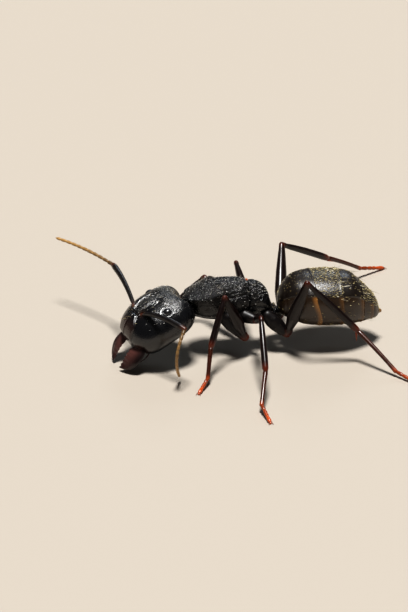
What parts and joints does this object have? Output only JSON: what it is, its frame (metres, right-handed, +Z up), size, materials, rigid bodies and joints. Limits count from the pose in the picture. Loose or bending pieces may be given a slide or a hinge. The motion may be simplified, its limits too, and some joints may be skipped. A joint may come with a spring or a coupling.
{
  "type": "carpenter ant model",
  "caption": "Life-size still model of a black carpenter ant worker, standing with its head lowered and jaws open over the floor.",
  "frame": {"origin": "on the floor, under the middle of the ant's box", "axes": "+Z up; the ant faces -X, and its left side faces -Y"},
  "size_m": [0.0172, 0.0162, 0.0046],
  "materials": {
    "shell": "dull black chitin with a fine leathery grain and a grey sheen",
    "gaster_shell": "black-brown chitin plates with golden lying hairs",
    "limb_shell": "smooth black to dark red-brown chitin",
    "feeler": "brown chitin, dull with a fine down",
    "foot": "reddish-brown chitin",
    "jaw": "dark red-brown polished chitin",
    "eye": "glossy black faceted eye",
    "hair": "fine pale golden bristles and down"
  },
  "bodies": {
    "root": {"eye_left": "eye", "mandible_left": "jaw", "scape_left": "limb_shell", "funiculus_left": "feeler", "eye_right": "eye", "mandible_right": "jaw", "scape_right": "limb_shell", "funiculus_right": "feeler", "head": "shell", "pronotum": "shell", "mesothorax": "shell", "propodeum": "shell", "petiole": "shell", "gaster_1": "gaster_shell", "gaster_2": "gaster_shell", "gaster_3": "gaster_shell", "gaster_4": "gaster_shell", "gaster_5": "gaster_shell", "left_fore_coxa": "limb_shell", "left_fore_femur": "limb_shell", "left_fore_tibia": "limb_shell", "left_fore_tarsus": "foot", "left_mid_coxa": "limb_shell", "left_mid_femur": "limb_shell", "left_mid_tibia": "limb_shell", "left_mid_tarsus": "foot", "left_hind_coxa": "limb_shell", "left_hind_femur": "limb_shell", "left_hind_tibia": "limb_shell", "left_hind_tarsus": "foot", "right_fore_coxa": "limb_shell", "right_fore_femur": "limb_shell", "right_fore_tibia": "limb_shell", "right_fore_tarsus": "foot", "right_mid_coxa": "limb_shell", "right_mid_femur": "limb_shell", "right_mid_tibia": "limb_shell", "right_mid_tarsus": "foot", "right_hind_coxa": "limb_shell", "right_hind_femur": "limb_shell", "right_hind_tibia": "limb_shell", "right_hind_tarsus": "foot"}
  },
  "joints": []
}
